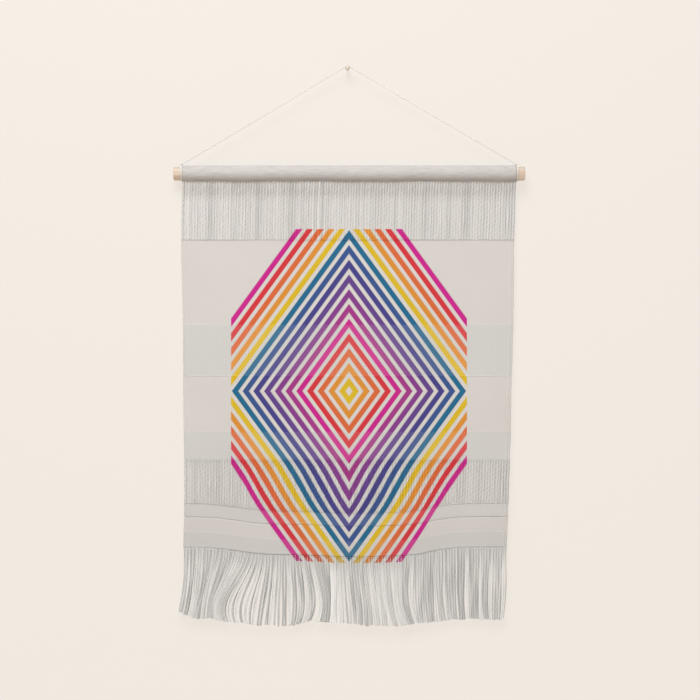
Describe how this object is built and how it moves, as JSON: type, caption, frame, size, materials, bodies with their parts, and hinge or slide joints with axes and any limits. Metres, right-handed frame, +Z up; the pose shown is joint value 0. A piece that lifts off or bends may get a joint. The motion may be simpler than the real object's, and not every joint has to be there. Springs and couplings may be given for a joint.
{
  "type": "textile wall hanging on a wooden dowel",
  "caption": "Woven cloth panel with open warp bands and a fringed lower edge, hung from a wooden dowel by a cord over a nail.",
  "frame": {"origin": "where the axis of the nail crosses the plane of the wall", "axes": "+Z up, +Y into the wall, +X to the right as seen from the front; the cloth hangs in front of the wall, towards -Y"},
  "size_m": [0.409, 0.038, 0.6551],
  "materials": {
    "dowel_wood": "bare, finely sanded light wood",
    "woven_cloth": "matt off-white weave with a printed geometric design",
    "fringe_yarn": "matt off-white twisted yarn",
    "cord_yarn": "matt off-white twisted cord",
    "nail_metal": "satin ivory"
  },
  "bodies": {
    "root": {"cloth": "woven_cloth", "fringe": "fringe_yarn", "dowel": "dowel_wood", "hanging_cord": "cord_yarn", "cord_tie_left": "cord_yarn", "cord_tie_right": "cord_yarn", "nail": "nail_metal"}
  },
  "joints": []
}
